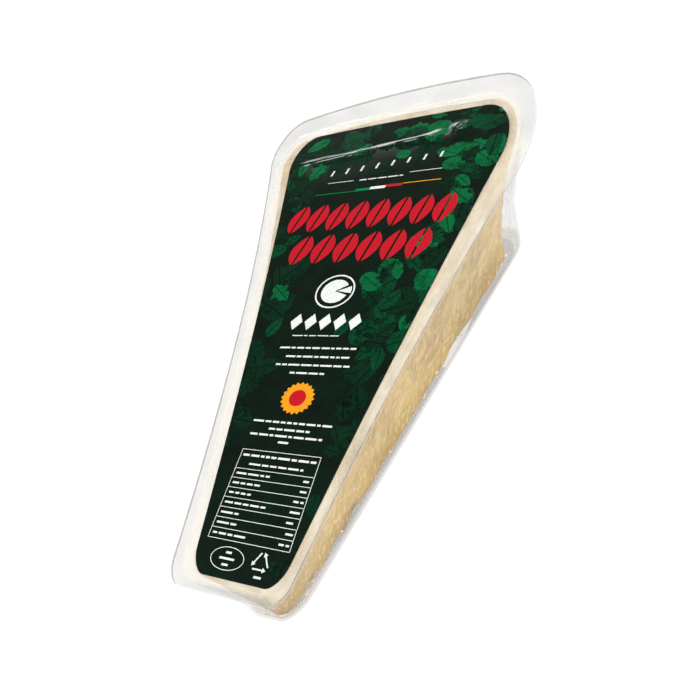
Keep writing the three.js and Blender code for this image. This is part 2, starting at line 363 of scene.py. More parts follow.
def own_copy(pattern):
    """A copy of a pattern with its own mesh."""
    copy = pattern.copy()
    copy.data = pattern.data.copy()
    bpy.context.scene.collection.objects.link(copy)
    return copy


def join(objects):
    deselect_all()
    for obj in objects:
        obj.select_set(True)
    bpy.context.view_layer.objects.active = objects[0]
    if len(objects) > 1:
        bpy.ops.object.join()
    return bpy.context.object


def apply_modifier(obj, kind, **settings):
    take(obj)
    bpy.ops.object.modifier_add(type=kind)
    modifier = obj.modifiers[-1]
    for key, value in settings.items():
        setattr(modifier, key, value)
    bpy.ops.object.modifier_apply(modifier=modifier.name)


def shade(obj, degrees=35):
    take(obj)
    bpy.ops.object.shade_smooth_by_angle(angle=math.radians(degrees))


def dress(obj, *materials):
    for material in materials:
        obj.data.materials.append(material)


def finish_piece(obj, node=None):
    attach(obj, "root")
    if node:
        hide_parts(node)


def walk_round(mesh):
    """The points of a lone circle, in order round it and anticlockwise from above."""
    mesh.verts.ensure_lookup_table()
    start = mesh.verts[0]
    order, before, here = [start], None, start
    while True:
        near = [e.other_vert(here) for e in here.link_edges]
        onward = next(v for v in near if v is not before) if before else near[0]
        if onward is start:
            break
        order.append(onward)
        before, here = here, onward
    turn = sum(a.co.x * b.co.y - b.co.x * a.co.y for a, b in zip(order, order[1:] + order[:1]))
    return order if turn > 0 else order[::-1]


def select_open_edges(obj):
    bpy.ops.mesh.select_all(action="DESELECT")
    mesh = bmesh.from_edit_mesh(obj.data)
    for e in mesh.edges:
        e.select = len(e.link_faces) == 1
    bmesh.update_edit_mesh(obj.data)


def extrude_to(obj, ring):
    """Extrudes the selected ring of edges, and sets each new point on its place in the ring."""
    bpy.ops.mesh.extrude_region_move()
    mesh = bmesh.from_edit_mesh(obj.data)
    place = mesh.verts.layers.int["place"]
    for v in mesh.verts:
        if v.select:
            v.co = ring[v[place]]
    bmesh.update_edit_mesh(obj.data)


def loft(name, rings, close_last=False):
    """A disc set on the first ring, and extruded from ring to ring."""
    deselect_all()
    bpy.ops.mesh.primitive_circle_add(vertices=len(rings[0]), radius=0.05, fill_type="NOTHING")
    obj = named(name)
    to_edit(obj)
    mesh = bmesh.from_edit_mesh(obj.data)
    place = mesh.verts.layers.int.new("place")
    for i, v in enumerate(walk_round(mesh)):
        v[place] = i
        v.co = rings[0][i]
    bmesh.update_edit_mesh(obj.data)
    bpy.ops.mesh.select_all(action="SELECT")
    bpy.ops.mesh.edge_face_add()
    bpy.ops.mesh.select_mode(type="EDGE")
    select_open_edges(obj)
    for ring in rings[1:]:
        extrude_to(obj, ring)
    if close_last:
        bpy.ops.mesh.edge_face_add()
    bpy.ops.mesh.select_all(action="SELECT")
    bpy.ops.mesh.normals_make_consistent(inside=False)
    lowest = min(bmesh.from_edit_mesh(obj.data).faces, key=lambda f: f.calc_center_median().z)
    if lowest.normal.z > 0:
        bpy.ops.mesh.flip_normals()
    to_object()
    obj.data.attributes.remove(obj.data.attributes["place"])
    return obj


def sheet_rows(o, closing, long, wide):
    """Heights of a sheet's rows, closer together towards both ends."""
    turn_narrow = o["y_narrow"] + o["round_narrow"] * STRETCH
    turn_wide = o["y_wide"] - max(o["round_left"], o["round_right"]) * STRETCH
    rows = [lerp(o["y_narrow"], turn_narrow, (i / closing) ** 2) for i in range(closing)]
    rows += [lerp(turn_narrow, turn_wide, i / long) for i in range(long)]
    rows += [lerp(turn_wide, o["y_wide"], 1 - (1 - i / wide) ** 2) for i in range(wide + 1)]
    return rows


def sheet(name, o, rows, columns, height):
    """A flat grid drawn to an outline in the lid plane; height gives each point's rise."""
    deselect_all()
    bpy.ops.mesh.primitive_grid_add(x_subdivisions=columns, y_subdivisions=len(rows) - 1, size=2)
    obj = named(name)
    right, left = side_of(o, True), side_of(o, False)
    edges = [(side_at(left, y), side_at(right, y)) for y in rows]
    for v in obj.data.vertices:
        u = (v.co.x + 1) / 2
        k = round((v.co.y + 1) / 2 * (len(rows) - 1))
        p = bowed(o, Vector((lerp(*edges[k], u), rows[k])))
        v.co = lid_point(p.x, p.y, height(p.x, p.y))
    return obj


def ridges(x, y, z):
    return noise.ridged_multi_fractal(Vector((x, y, z)), 1.0, 2.1, 3, 1.0, 2.0)


def fold_height(x, y):
    """The height of the fold that the shrunk film has drawn across the lid, in millimetres."""
    lid = bpy.context.scene.pack_lid
    ends = smooth(x, -37, -29) * (1 - smooth(x, 22, 30))
    fan = 1 + 1.6 * smooth(x, 8, 27)
    offset = (y - lid.fold_y / MM - FOLD_SLANT * x + FOLD_DROP) / (lid.fold_width / MM * fan)
    body = math.exp(-offset ** 4 * 0.6) * ends
    creases = ridges(x * 0.055, offset * 0.62, 0.4)
    gathered = ridges(x * 0.16, y * 0.12 + x * 0.1, 7.3)
    sharp = lerp(creases, gathered, smooth(x, 12, 20)) - 0.9
    swell = lerp(0.5, 1, smooth(x, -12, 12)) * (1 + 0.45 * noise.noise(Vector((x * 0.3, 2.5, 0))))
    return lid.fold_height / MM * body * swell * (0.5 + 0.6 * sharp)


# ---------------- materials

def opaque(value):
    """A colour, or the grey of one number, with full cover."""
    return (value, value, value, 1) if isinstance(value, (int, float)) else (*value, 1)


def scaled(value, share):
    return tuple(c * share for c in value)


class Nodes:
    """Makes a material, and adds and joins its nodes."""

    def __init__(self, name):
        self.material = bpy.data.materials.new(name)
        self.material.use_nodes = True
        self.tree = self.material.node_tree
        self.tree.nodes.clear()

    def add(self, kind, inputs=None, **settings):
        node = self.tree.nodes.new("ShaderNode" + kind)
        for key, value in settings.items():
            setattr(node, key, value)
        for key, value in (inputs or {}).items():
            socket = node.inputs[key]
            if isinstance(value, bpy.types.NodeSocket):
                self.tree.links.new(value, socket)
            else:
                socket.default_value = opaque(value) if socket.type == "RGBA" else value
        return node

    def out(self, kind, inputs=None, **settings):
        """Adds a node and gives its first output."""
        return self.add(kind, inputs, **settings).outputs[0]

    def mapping(self, **settings):
        inputs = {key: value for key, value in settings.items() if key != "vector_type"}
        inputs["Vector"] = self.add("TexCoord").outputs["Object"]
        return self.out("Mapping", inputs, vector_type=settings.get("vector_type", "POINT"))

    def place(self, tilt=0.0, scale=(1, 1, 1)):
        return self.mapping(Rotation=(-tilt, 0, 0), Scale=scale)

    def fibres(self, reach):
        """Coordinates drawn out along a direction that leans up from the long axis."""
        return self.mapping(Rotation=(GRAIN_LEAN, 0, 0), Scale=(1, reach, 1),
                            vector_type="TEXTURE")

    def noise(self, vector, scale, detail=3.0, roughness=0.5):
        return self.out("TexNoise", {"Vector": vector, "Scale": scale, "Detail": detail,
                                     "Roughness": roughness})

    def calc(self, operation, a, b=0.0):
        return self.out("Math", {0: a, 1: b}, operation=operation)

    def axis(self, vector, letter):
        return self.add("SeparateXYZ", {"Vector": vector}).outputs[letter]

    def span(self, value, low, high, first=0.0, last=1.0, shape="LINEAR"):
        """Runs from first to last while the value runs from low to high."""
        return self.out("MapRange", {"Value": value, "From Min": low, "From Max": high,
                                     "To Min": first, "To Max": last}, interpolation_type=shape)

    def ramp(self, factor, stops):
        node = self.add("ValToRGB", {"Fac": factor})
        elements = node.color_ramp.elements
        while len(elements) < len(stops):
            elements.new(0.5)
        for element, (position, value) in zip(elements, stops):
            element.position = position
            element.color = opaque(value)
        return node.outputs[0]

    def mix(self, factor, a, b, blend="MIX"):
        inputs = {0: factor, 6: a, 7: b}
        return self.add("Mix", inputs, data_type="RGBA", blend_type=blend).outputs[2]

    def bump(self, height, strength):
        return self.out("Bump", {"Height": height, "Strength": strength, "Distance": 0.4 * MM})

    def blend(self, share, a, b):
        return self.out("MixShader", {0: share, 1: a, 2: b})

    def finish(self, shader):
        self.add("OutputMaterial", {"Surface": shader})
        return self.material

    def paint(self, value, roughness, specular=0.3, others=None):
        """Finishes the material with one coloured surface."""
        inputs = {"Base Color": value, "Roughness": roughness, "Specular IOR Level": specular}
        return self.finish(self.out("BsdfPrincipled", {**inputs, **(others or {})}))


def clear_sheet(n, relief, relief_strength, tint, milk, milk_share, roughness):
    """A clear sheet: it lets light through, mirrors more at a slant, where painted shade darkens it
    too, and is milky in places.
    """
    bump = n.bump(relief, relief_strength)
    facing = n.add("LayerWeight", {"Blend": 0.5, "Normal": bump}).outputs["Facing"]
    # Painted shade: at a slant less light gets through, standing in for the dark edges that
    # refraction gives.
    painted_slant_shade = n.ramp(facing, [(0.0, 1), (0.8, 1), (0.96, 0.87), (1.0, 0.66)])
    through = n.out("BsdfTransparent", {"Color": n.mix(1.0, tint, painted_slant_shade, "MULTIPLY")})
    behind = n.out("BsdfTranslucent", {"Color": milk})
    front = n.out("BsdfDiffuse", {"Color": milk})
    body = n.blend(milk_share, through, n.blend(0.85, behind, front))
    mirror = n.out("BsdfGlossy", {"Color": 1, "Roughness": roughness, "Normal": bump})
    share = n.ramp(facing, [(0.0, 0.009), (0.55, 0.009), (0.78, 0.10), (0.93, 0.45), (1.0, 0.85)])
    return n.finish(n.blend(share, body, mirror))


def tray_material():
    """The tray's clear sheet: greyer round the foot with painted shade, rippled, and pleated at the
    wide end, where painted glints and painted shade lines mark the pleats.
    """
    tray = bpy.context.scene.pack_tray
    n = Nodes("clear_tray_sheet")
    place = n.place()
    height = n.axis(place, "Z")
    cloud = n.ramp(n.noise(place, 60, 2), [(0.35, scaled(tray.tint, 0.965)),
                                           (0.6, scaled(tray.tint, 1.015))])
    # Painted shade: the sheet turns greyer round its foot, for the grey that refraction gives
    # there.
    foot = n.span(height, 1.0 * MM, 4.2 * MM, 1.0, 0.0, "SMOOTHSTEP")
    tint = n.mix(foot, cloud, tray.foot_shade_tint)
    wide = n.span(n.axis(place, "Y"), 52 * MM, 72 * MM, shape="SMOOTHSTEP")
    below = n.span(height, 45 * MM, 39 * MM, shape="SMOOTHSTEP")
    pleated = n.calc("MULTIPLY", wide, below)
    pleats = n.noise(n.place(scale=(1, 1, 0.14)), 260, 3, 0.6)
    # Painted glints and painted shade: white streaks and thin grey lines on the pleats stand in for
    # light caught on their folds and shade between them.
    pleat_glints = n.ramp(pleats, [(0.5, 0.005), (0.62, 0.22)])
    pleat_shade_lines = n.ramp(pleats, [(0.42, 1), (0.46, 0.86), (0.49, 1)])
    milk_share = n.mix(pleated, 0.003, pleat_glints)
    tint = n.mix(1.0, tint, n.mix(pleated, 1, pleat_shade_lines), "MULTIPLY")
    drawn = n.noise(n.place(scale=(1, 1, 0.25)), 380, 2)
    return clear_sheet(n, drawn, 0.25, tint, tray.haze_and_sheen, milk_share, 0.06)


def film_material():
    """The lid film: clear over the flange, milky in streaks where it lies over the cheese, and with
    a painted highlight, a thin white line along the mouth's rim.
    """
    tray, lid = bpy.context.scene.pack_tray, bpy.context.scene.pack_lid
    n = Nodes("clear_lid_film")
    way = n.add("Attribute", attribute_name="way").outputs["Vector"]
    touch = n.add("Attribute", attribute_name="touch").outputs["Fac"]
    streaks = n.noise(n.out("Mapping", {"Vector": way, "Scale": (0.22, 1, 1)}), 300)
    both = n.mix(0.5, streaks, n.noise(n.place(), 90))
    veil = n.ramp(both, [(0.38, 0.22), (0.52, 0.35), (0.66, 0.55)])
    # Painted highlight: a thin milky white line along the mouth's rim stands in for light caught
    # where the film bends over the mouth's edge.
    rim = n.span(n.axis(way, "Y"), -1 * MM, 1 * MM)
    rim_highlight = n.ramp(rim, [(0.44, 0), (0.55, 0.5), (0.66, 0)])
    milk_share = n.mix(1.0, n.mix(touch, 0.0015, veil), rim_highlight, "LIGHTEN")
    return clear_sheet(n, streaks, 0.15, tray.tint, lid.veil, milk_share, 0.07)


def cut_edge_material(name, dark, light):
    """The cut edge of a clear sheet, darker than its face with painted shade: a grey line that
    stands in for what refraction does at the edge.
    """
    n = Nodes(name)
    # Painted shade: the dark tone lets less light through the edge.
    tone = n.ramp(n.noise(n.place(), 300, 2), [(0.3, dark), (0.7, light)])
    through = n.out("BsdfTransparent", {"Color": tone})
    pale = n.out("BsdfDiffuse", {"Color": (0.85, 0.84, 0.82)})
    return n.finish(n.blend(0.42, through, pale))


def cheese_material():
    """Hard cheese paste: ochre blotches, a fine grain drawn out lengthwise, and pale specks."""
    cheese = bpy.context.scene.pack_cheese
    middle = [lerp(a, b, 0.55) for a, b in zip(cheese.deep, cheese.pale)]
    n = Nodes("pressed_cheese")
    place = n.place()
    clouds = n.noise(place, 55, 4, 0.55)
    blotches = n.noise(n.fibres(1.8), 230, 4, 0.65)
    grain = n.noise(n.fibres(4.0), 1250, 2)
    crumbs = n.noise(n.fibres(2.0), 620, 3, 0.7)
    body = n.ramp(n.mix(0.6, clouds, blotches),
                  [(0.40, cheese.deep), (0.5, middle), (0.59, cheese.pale)])
    # The paste turns deeper ochre towards the bottom of the wedge.
    toward_bottom = n.span(n.axis(place, "Z"), 1 * MM, 18 * MM, 0.8, 0.0)
    deeper_low = n.mix(toward_bottom, body, cheese.deep)
    streaked = n.mix(n.ramp(grain, [(0.54, 0), (0.64, 0.55)]), deeper_low, cheese.streak)
    coloured = n.mix(n.ramp(crumbs, [(0.61, 0), (0.70, 0.5)]), streaked, cheese.streak)
    bump = n.bump(n.mix(0.5, grain, crumbs), 0.15)
    return n.paint(coloured, 0.5, others={
        "Subsurface Weight": 0.04, "Subsurface Scale": 0.002,
        "Subsurface Radius": (1.0, 0.6, 0.25), "Normal": bump})


def foot_glint_material():
    """Pale, slightly glossy bits with darker spots, painted white as glints along the cheese's
    foot.
    """
    n = Nodes("painted_foot_glints")
    spots = n.noise(n.place(), 900, 2)
    pale = bpy.context.scene.pack_cheese.pale
    return n.paint(n.ramp(spots, [(0.35, pale), (0.6, (0.95, 0.90, 0.80))]), 0.3, 0.5)


def label_material():
    """The label's near black green, with a painted sheen just below the fold: a grey green that
    stands in for light reflected off the gathered film.
    """
    lid = bpy.context.scene.pack_lid
    n = Nodes("printed_film")
    red, green, blue = lid.ground
    mottle = n.noise(n.place(tilt=LID_SLOPE), 160, 4, 0.6)
    body = n.ramp(mottle, [(0.35, lid.ground), (0.75, (red, green * 2, blue * 1.6))])
    crease = lid_point(0, lid.fold_y / MM - FOLD_DROP, 0)
    place = n.place()
    x = n.axis(place, "X")
    level = n.calc("SUBTRACT", n.axis(place, "Y"), n.calc("MULTIPLY", x, SHEEN_SLANT))
    band = n.span(level, crease.y - 13 * MM, crease.y + 1 * MM)
    # Painted sheen: a grey green band below the fold, for the light that the gathered film
    # reflects.
    haze_and_sheen = n.ramp(band, [(0.0, 0), (0.45, 0.25), (0.85, 1), (1.0, 0)])
    window = n.ramp(n.span(x, -36 * MM, 34 * MM), [(0.03, 0), (0.14, 1), (0.7, 0.8), (0.86, 0)])
    soft = n.ramp(n.noise(n.place(scale=(0.3, 1, 1)), 170, 2), [(0.3, 0.35), (0.65, 1)])
    share = n.mix(1.0, n.mix(1.0, haze_and_sheen, window, "MULTIPLY"), soft, "MULTIPLY")
    return n.paint(n.mix(share, body, lid.haze_and_sheen), 0.18)


def leaf_material(name, value):
    """A leaf's green with darker veins and flecks."""
    n = Nodes(name)
    place = n.place(tilt=LID_SLOPE)
    both = n.mix(0.5, n.noise(place, 700, 3, 0.6), n.noise(place, 110, 2))
    blotched = n.ramp(both, [(0.36, scaled(value, 0.25)), (0.47, scaled(value, 0.75)),
                             (0.62, value)])
    blade = n.out("UVMap", uv_map="blade")
    across = n.calc("ABSOLUTE", n.calc("SUBTRACT", n.axis(blade, "X"), 0.5))
    slanted = n.calc("SUBTRACT", n.axis(blade, "Y"), n.calc("MULTIPLY", across, 1.1))
    ribs = n.calc("PINGPONG", slanted, 0.075)
    side_veins = n.ramp(n.calc("MULTIPLY", ribs, 10), [(0.06, 0.55), (0.2, 1)])
    middle_vein = n.ramp(n.calc("MULTIPLY", across, 10), [(0.15, 0.4), (0.3, 1)])
    veins = n.mix(1.0, side_veins, middle_vein, "MULTIPLY")
    return n.paint(n.mix(1.0, blotched, veins, "MULTIPLY"), 0.18)


def ink_material(name, value):
    """Printing ink with a faint mottle."""
    n = Nodes(name)
    speck = n.noise(n.place(tilt=LID_SLOPE), 900, 2)
    return n.paint(n.ramp(speck, [(0.3, scaled(value, 0.9)), (0.6, value)]), 0.2)


def floor_material():
    """A plain pale floor, evenly lit."""
    floor = bpy.context.scene.pack_stage.floor
    n = Nodes("pale_floor")
    body = n.ramp(n.noise(n.place(), 6, 2), [(0.3, scaled(floor, 0.99)), (0.7, floor)])
    return n.paint(body, 0.9, 0.0, {"Emission Color": 1, "Emission Strength": 1.0})


# ---------------- the pieces

class PACK_OT_tray(bpy.types.Operator):
    """Lofts the clear tray from its base to the edge of its flange"""
    bl_idname = "mesh.pack_tray"
    bl_label = "Clear Tray"

    def execute(self, context):
        s = context.scene.pack_tray
        wall, radius, lip = s.wall / MM, s.base_radius / MM, s.lip_radius / MM
        turn = quarter_turn(5)
        rings = [level_ring(inset(BASE, radius + 3), 0), level_ring(inset(BASE, radius + 0.6), 0)]
        rings += rounded_foot(BASE, radius, 0, turn)
        foot = rings[-1]
        mouth = lid_ring(inset(MOUTH, -wall), -wall - lip)
        middle = centre_of(foot)
        for t in [k / 12 for k in range(1, 12)]:
            tent = t / KNEE_HEIGHT if t < KNEE_HEIGHT else (1 - t) / (1 - KNEE_HEIGHT)
            rings.append([self.drawn_in(s, p, middle, tent, t) for p in mid_ring(foot, mouth, t)])
        rings.append(mouth)
        rings += [lid_ring(inset(MOUTH, -wall - lip * (1 - math.cos(a))),
                           -wall - lip * (1 - math.sin(a))) for a in turn[1:]]
        lip_top = inset(MOUTH, -wall - lip)
        for share in (0.5, 0.96, 1):
            o = {key: lerp(lip_top[key], FLANGE[key], share) for key in FLANGE}
            rings.append(lid_ring(o, -wall))
        obj = loft("clear_tray", rings)
        dress(obj, tray_material(), cut_edge_material("tray_cut_edge", 0.5, 0.64))
        apply_modifier(obj, "SOLIDIFY", thickness=s.wall, offset=-1, use_even_offset=True,
                       material_offset_rim=1)
        shade(obj)
        finish_piece(obj, "tray")
        return {"FINISHED"}

    def drawn_in(self, s, p, middle, tent, t):
        """A point of the wall, drawn in at the knee and rippled most at the wide end."""
        wideness = clamp((p.y / MM - BASE["y_narrow"]) / (BASE["y_wide"] - BASE["y_narrow"]))
        depth = lerp(s.knee_narrow, s.knee_wide, wideness ** 2) * tent
        folds = noise.noise(Vector((p.x * 260, p.y * 260, p.z * 45)))
        depth += s.ripple * hump(t) * lerp(0.5, 4, wideness ** 3) * folds
        return p + inward_at(p, middle) * depth


class PACK_OT_cheese(bpy.types.Operator):
    """Lofts the wedge of cheese and roughens its cut faces"""
    bl_idname = "mesh.pack_cheese"
    bl_label = "Cheese Wedge"

    def execute(self, context):
        s = context.scene.pack_cheese
        floor = (context.scene.pack_tray.wall + s.lift) / MM
        edge, drop = s.edge / MM, s.drop / MM
        turn = quarter_turn(4)
        rings = [level_ring(inset(CHEESE_FOOT, edge + 3), floor)]
        rings += rounded_foot(CHEESE_FOOT, edge, floor, turn)
        foot = rings[-1]
        shoulder = lid_ring(CHEESE_TOP, -drop - edge)
        middle = centre_of(foot)
        for t in [k / 20 for k in range(1, 20)]:
            rings.append([self.hollowed(s, p, middle, t) for p in mid_ring(foot, shoulder, t)])
        rings.append(shoulder)
        rings += [lid_ring(inset(CHEESE_TOP, edge * (1 - math.cos(a))),
                           -drop - edge * (1 - math.sin(a))) for a in turn[1:]]
        rings.append(lid_ring(inset(CHEESE_TOP, edge + 3), -drop))
        obj = loft("cheese_wedge_paste", rings, close_last=True)
        for v in obj.data.vertices:
            rough = noise.fractal(v.co * 260, 1.0, 2.0, 4)
            torn = max(noise.noise(v.co * 190), -0.1) * (1 - smooth(v.co.z / MM, 3, 13))
            v.co += Vector((v.normal.x, v.normal.y, 0)) * (
                s.relief * 0.6 * (rough - 0.3) - s.torn * torn)
        dress(obj, cheese_material())
        shade(obj, 50)
        finish_piece(obj, "cheese_wedge")
        return {"FINISHED"}

    def hollowed(self, s, p, middle, t):
        """A point of the cut faces, drawn in half way up, most at the wide end."""
        far = CHEESE_FOOT["y_wide"] * MM + MIDDLE.y
        wideness = clamp((p.y - middle.y) / (far - middle.y))
        return p + inward_at(p, middle) * hump(t) * s.knee * wideness ** 2


class PACK_OT_foot_glints(bpy.types.Operator):
    """Scatters small pale bits along the foot of the wedge; their white is a painted glint where
    the tray meets the cheese
    """
    bl_idname = "mesh.pack_crumbs"
    bl_label = "Foot Glints"

    def execute(self, context):
        rng = random.Random(FOOT_GLINT_SEED)
        deselect_all()
        bpy.ops.mesh.primitive_ico_sphere_add(subdivisions=2, radius=0.42 * MM)
        pattern = context.object
        foot = level_ring(inset(CHEESE_FOOT, -0.75), 2.2)
        made = []
        for _ in range(FOOT_GLINTS):
            k = rng.randrange(len(foot))
            step = foot[k] - foot[k - 1]
            spot = foot[k - 1] + step * rng.random()
            size = rng.uniform(0.3, 0.85)
            along = rng.uniform(1.0, 3.6) * size
            turn = Matrix.Rotation(math.atan2(step.y, step.x), 4, "Z")
            spot = spot + Vector((0, 0, rng.uniform(-0.4, 1.6) * MM))
            glint_bit = own_copy(pattern)
            for v in glint_bit.data.vertices:
                rough = 1 + 0.8 * noise.noise(v.co * 2500 + spot * 900)
                drawn = Vector((v.co.x * along, v.co.y * size, v.co.z * size))
                v.co = spot + turn @ drawn * rough
            made.append(glint_bit)
        bpy.data.objects.remove(pattern)
        join(made)
        # Painted glints: these pale bits stand in for glints along the cheese's foot.
        obj = named("crumbs")
        dress(obj, foot_glint_material())
        shade(obj, 60)
        finish_piece(obj)
        return {"FINISHED"}


class PACK_OT_film(bpy.types.Operator):
    """Lays the clear lid film over the flange, with its fold and its wrinkles"""
    bl_idname = "mesh.pack_film"
    bl_label = "Lid Film"

    def execute(self, context):
        s = context.scene.pack_lid
        base = s.film_gap / MM
        o = inset(FLANGE, base)
        mouth = Edge(MOUTH)
        rows = sheet_rows(o, closing=10, long=120, wide=90)
        obj = sheet("lid_film_sheet", o, rows, 140,
                    lambda x, y: base + fold_height(x, y) + self.wrinkle(mouth, x, y))
        self.mark_touch(mouth, obj)
        dress(obj, film_material(), cut_edge_material("film_cut_edge", 0.88, 0.96))
        apply_modifier(obj, "SOLIDIFY", thickness=s.film, offset=1, material_offset_rim=1)
        shade(obj, 50)
        finish_piece(obj, "lid_film")
        return {"FINISHED"}

    def mark_touch(self, mouth, obj):
        """Stores where the film lies close over the cheese, and where a point is on the rim."""
        touch = obj.data.attributes.new("touch", "FLOAT", "POINT")
        way = obj.data.attributes.new("way", "FLOAT_VECTOR", "POINT")
        for i, v in enumerate(obj.data.vertices):
            x, y = label_place(v.co)
            out, arc = mouth.at(x, y)
            facing_right = smooth(mouth.at(x + 1, y)[0] - out, 0.5, 0.9)
            right = facing_right * (1 - smooth(y, 45, 62))
            over = 1 - smooth(out, lerp(0.0, 1.5, right), lerp(1.3, 6.5, right))
            touch.data[i].value = smooth(out, -16, -6) * over
            way.data[i].vector = (arc * MM, out * MM, 0)

    def wrinkle(self, mouth, x, y):
        """Small creases where the film spans the mouth round the label, in millimetres."""
        out, arc = mouth.at(x, y)
        near = smooth(out, -9, -3) * (1 - smooth(out, 0.2, 2.2))
        height = lerp(0.10, 0.42, smooth(y, 0, 62))
        long = ridges(arc * 0.045, out * 0.33, 1.7)
        cross = noise.noise(Vector((arc * 0.55, out * 0.12, 5.2)))
        return near * height * max(long - 1.0 + 0.5 * cross, -0.3)


class PACK_OT_label(bpy.types.Operator):
    """Lays the printed label on the lid film"""
    bl_idname = "mesh.pack_label"
    bl_label = "Label"

    def execute(self, context):
        s = context.scene.pack_lid
        base = (s.film_gap + s.film + s.label_gap) / MM
        rows = sheet_rows(LABEL, closing=9, long=60, wide=90)
        obj = sheet("label_sheet", LABEL, rows, 130, lambda x, y: base + fold_height(x, y))
        dress(obj, label_material())
        apply_modifier(obj, "SOLIDIFY", thickness=s.film, offset=1)
        shade(obj, 50)
        finish_piece(obj, "label")
        return {"FINISHED"}


# ---------------- the print

def flat_shape(name, corners):
    """A flat shape in the label's plane, in millimetres, drawn through its corners."""
    deselect_all()
    bpy.ops.mesh.primitive_circle_add(vertices=len(corners), radius=1, fill_type="NGON")
    obj = named(name)
    mesh = bmesh.new()
    mesh.from_mesh(obj.data)
    for v, place in zip(walk_round(mesh), corners):
        v.co = (*place, 0)
    mesh.to_mesh(obj.data)
    mesh.free()
    return obj


def copies(pattern, places):
    """Copies of a flat shape, joined. A place is x, y, width, height, lean."""
    made = []
    for x, y, width, height, lean in places:
        copy = own_copy(pattern)
        for v in copy.data.vertices:
            v.co = (x + v.co.x * width + v.co.y * lean, y + v.co.y * height, 0)
        made.append(copy)
    bpy.data.objects.remove(pattern)
    return join(made)


def bars(places):
    pattern = flat_shape("bar", [(-0.5, -0.5), (0.5, -0.5), (0.5, 0.5), (-0.5, 0.5)])
    return copies(pattern, places)


def arc(rx, ry, start, end, steps):
    angles = [lerp(start, end, i / steps) for i in range(steps + 1)]
    return [(rx * math.cos(a), ry * math.sin(a)) for a in angles]


def ellipse(rx, ry, steps):
    return arc(rx, ry, 0, 2 * math.pi, steps)[:-1]


def ring_shape(rx, ry, width):
    """A closed ring: a disc whose face is inset, and the inner face taken out."""
    obj = flat_shape("ring", ellipse(rx, ry, 48))
    to_edit(obj, "FACE")
    bpy.ops.mesh.select_all(action="SELECT")
    bpy.ops.mesh.inset(thickness=width)
    bpy.ops.mesh.delete(type="FACE")
    to_object()
    return obj


def moved(obj, x, y, turn=0.0):
    spin = Matrix.Rotation(turn, 4, "Z")
    obj.data.transform(Matrix.Translation((x, y, 0)) @ spin)
    return obj


def half_leaf(side):
    """Half of a pointed leaf, one unit high, with a slit left open at its midrib."""
    edge = [(side * (0.06 + 0.42 * math.sin(math.pi * t) ** 0.8), t - 0.5)
            for t in [i / 12 for i in range(13)]]
    rib = [(side * 0.05, t - 0.5) for t in (0.9, 0.1)]
    corners = edge + rib
    return flat_shape("half_leaf", corners if side > 0 else corners[::-1])


def leaf_row(count, left, right, low, high, lean=2.6):
    """A row of bold slanted leaves between two ends."""
    pitch = (right - left) / count
    places = [(left + pitch * (i + 0.5), (low + high) / 2, pitch * 0.96, high - low, lean)
              for i in range(count)]
    return [copies(half_leaf(1), places), copies(half_leaf(-1), places)]


def dashes(rng, left, right, y, height):
    """Places for a broken line of short bars that stands for a line of small print."""
    gap, shortest, longest = 0.5, 1.0, 3.6
    places, x = [], left
    while x < right - gap:
        reach = min(rng.uniform(shortest, longest), right - x)
        places.append((x + reach / 2, y, reach, 0.34 * height, 0.05))
        x += reach + gap
    return places


def cut_for_fold(obj):
    """Cuts flat print into narrow strips where it crosses the fold, so that it can follow it."""
    if max(v.co.y for v in obj.data.vertices) < FOLD_ZONE:
        return
    to_edit(obj, "FACE")
    cuts = [((0, FOLD_ZONE + 0.6 * k), (-FOLD_SLANT, 1)) for k in range(27)]
    cuts += [((-36 + 1.2 * k, 58), (1, 0)) for k in range(57)]
    for place, across in cuts:
        bpy.ops.mesh.select_all(action="DESELECT")
        mesh = bmesh.from_edit_mesh(obj.data)
        for f in mesh.faces:
            f.select = max(v.co.y for v in f.verts) > FOLD_ZONE - 1
        bmesh.update_edit_mesh(obj.data)
        bpy.ops.mesh.bisect(plane_co=(*place, 0), plane_no=(*across, 0))
    to_object()


def lay_on_label(obj, name, ink, over=PRINT_RISE):
    """Puts flat print on the label, gives it its thickness, and finishes it."""
    lid = bpy.context.scene.pack_lid
    base = (lid.film_gap + 2 * lid.film + lid.label_gap) / MM + over
    obj.name = obj.data.name = name
    cut_for_fold(obj)
    for v in obj.data.vertices:
        x, y = v.co.x, v.co.y
        v.co = lid_point(x, y, base + v.co.z + fold_height(x, y))
    to_edit(obj, "FACE")
    bpy.ops.mesh.select_all(action="SELECT")
    bpy.ops.mesh.normals_make_consistent(inside=False)
    mesh = bmesh.from_edit_mesh(obj.data)
    downward = [f.normal.z < 0 for f in mesh.faces]
    for f, down in zip(mesh.faces, downward):
        f.select = down
    if any(downward):
        bpy.ops.mesh.flip_normals()
    to_object()
    dress(obj, ink)
    apply_modifier(obj, "SOLIDIFY", thickness=bpy.context.scene.pack_print.ink, offset=1)
    finish_piece(obj)
    return obj


def leaf_outline(kind, rng):
    """The outline of a generic leaf, one unit long, with its stalk end at the origin."""
    right = []
    for t in [i / 16 for i in range(1, 16)]:
        if kind == "pointed":
            half = 0.26 * math.sin(math.pi * t ** 0.8) ** 0.9
        elif kind == "round":
            half = 0.40 * math.sqrt(max(math.sin(math.pi * t ** 0.9), 0))
        else:
            half = 0.30 * math.sin(math.pi * t ** 0.85) * (1 + 0.28 * math.sin(t * 19))
        right.append((half * rng.uniform(0.9, 1.1), t))
    left = [(-half * rng.uniform(0.85, 1.0), t) for half, t in reversed(right)]
    return [(0, 0)] + right + [(0, 1)] + left


